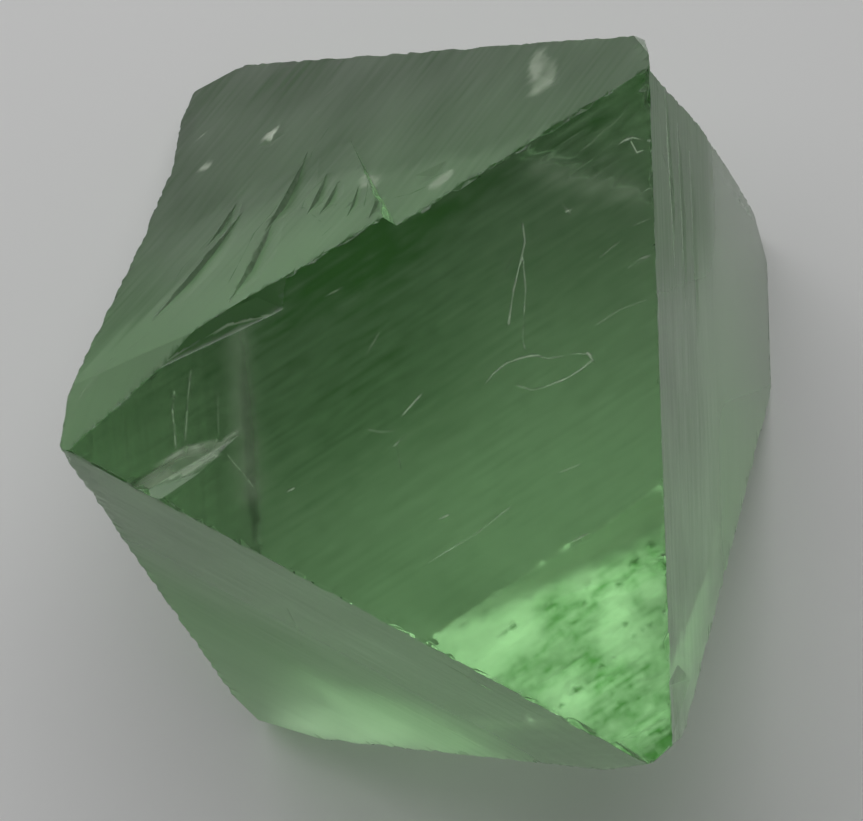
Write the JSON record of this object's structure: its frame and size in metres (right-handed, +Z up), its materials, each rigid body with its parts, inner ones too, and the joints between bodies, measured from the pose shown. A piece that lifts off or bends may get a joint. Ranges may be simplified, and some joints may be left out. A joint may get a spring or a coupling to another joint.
{
  "type": "fluorite octahedron",
  "caption": "Cleavage octahedron of translucent green fluorite with flat triangular faces and knocked corners, lying on one face as a display specimen.",
  "frame": {"origin": "on the rest face, under the middle of the crystal", "axes": "+Z up from the rest face to the top face parallel to it; +X out of the east face; +Y towards the north corner of the top face"},
  "size_m": [0.0325, 0.0301, 0.0229],
  "materials": {
    "fluorite": "natural cleavage faces, slightly frosted, clear green inside"
  },
  "bodies": {
    "root": {"fluorite_crystal": "fluorite"}
  },
  "joints": []
}
